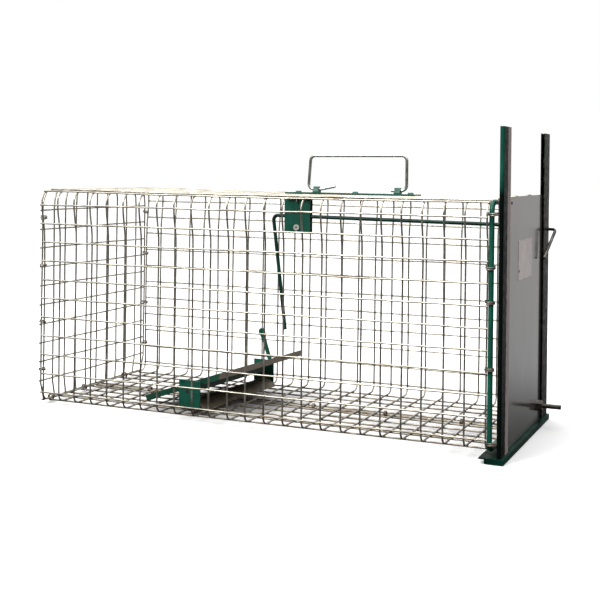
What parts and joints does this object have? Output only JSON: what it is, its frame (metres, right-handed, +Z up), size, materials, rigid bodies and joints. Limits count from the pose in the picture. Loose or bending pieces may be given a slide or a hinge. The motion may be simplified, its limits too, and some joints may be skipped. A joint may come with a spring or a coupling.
{
  "type": "live catch trap",
  "caption": "Box-shaped welded-mesh live trap with a drop door in two guide posts, a treadle, a bell-crank trigger and a bail carry handle.",
  "frame": {"origin": "bottom centre of the bounding box, on the ground under the middle of the trap", "axes": "+X lengthwise towards the door, +Y across towards the latch side, +Z up"},
  "size_m": [0.6537, 0.2696, 0.376],
  "materials": {
    "galvanised_wire": "galvanised, slightly dull",
    "green_paint": "satin green paint, worn at the edges",
    "worn_sheet": "weathered brownish zinc",
    "door_lacquer": "glossy dark grey",
    "label_film": "plain pale film",
    "bare_steel": "dark bare steel",
    "handle_wire": "bright galvanised wire"
  },
  "bodies": {
    "cage": {"near_side_mesh": "galvanised_wire", "far_side_mesh": "galvanised_wire", "top_mesh": "galvanised_wire", "floor_mesh": "galvanised_wire", "rear_panel_mesh": "galvanised_wire", "rear_side_rings": "galvanised_wire", "rear_foot_rings": "galvanised_wire", "floor_seam_rings": "galvanised_wire", "mouth_hoop_near_bar": "green_paint", "mouth_hoop_far_bar": "green_paint", "mouth_hoop_top_bar": "green_paint", "mouth_hoop_bottom_bar": "green_paint", "mouth_hoop_rings": "galvanised_wire", "near_guide_post": "green_paint", "far_guide_post": "green_paint", "post_ties": "galvanised_wire", "door_sill": "green_paint", "handle_plate": "green_paint", "backing_strip": "galvanised_wire", "plate_rivets": "green_paint", "handle_lugs": "green_paint", "trigger_bracket": "green_paint", "bracket_tie": "galvanised_wire", "trigger_pin": "galvanised_wire", "treadle_base": "worn_sheet", "near_treadle_leg": "green_paint", "far_treadle_leg": "green_paint", "treadle_axle": "bare_steel"},
    "door": {"door_sheet": "door_lacquer", "door_label": "label_film", "door_peg": "bare_steel", "door_peg_nut": "bare_steel"},
    "trigger": {"trigger_rod": "green_paint"},
    "treadle": {"treadle_pan": "green_paint", "pan_channel": "green_paint", "treadle_finger": "green_paint"},
    "handle": {"carry_handle": "handle_wire"},
    "latch": {"latch_wire": "bare_steel"}
  },
  "joints": [
    {"name": "door_slide", "type": "slide", "parent": "cage", "child": "door", "axis": [0, 0, 1], "range_m": [0, 0.215]},
    {"name": "trigger_pivot", "type": "hinge", "parent": "cage", "child": "trigger", "pos_m": [-0.00599, -0.003, 0.2491], "axis": [0, 1, 0], "range_deg": [0, 20]},
    {"name": "treadle_pivot", "type": "hinge", "parent": "cage", "child": "treadle", "pos_m": [-0.11099, 0.002, 0.0377], "axis": [0.0872, 0.9962, 0], "range_deg": [0, 32]},
    {"name": "handle_pivot", "type": "hinge", "parent": "cage", "child": "handle", "pos_m": [0.07541, 0, 0.29995], "axis": [1, 0, 0], "range_deg": [-85, 85]},
    {"name": "latch_pivot", "type": "hinge", "parent": "cage", "child": "latch", "pos_m": [0.29335, 0.126, 0.2507], "axis": [1, 0, 0], "range_deg": [0, 220]}
  ]
}
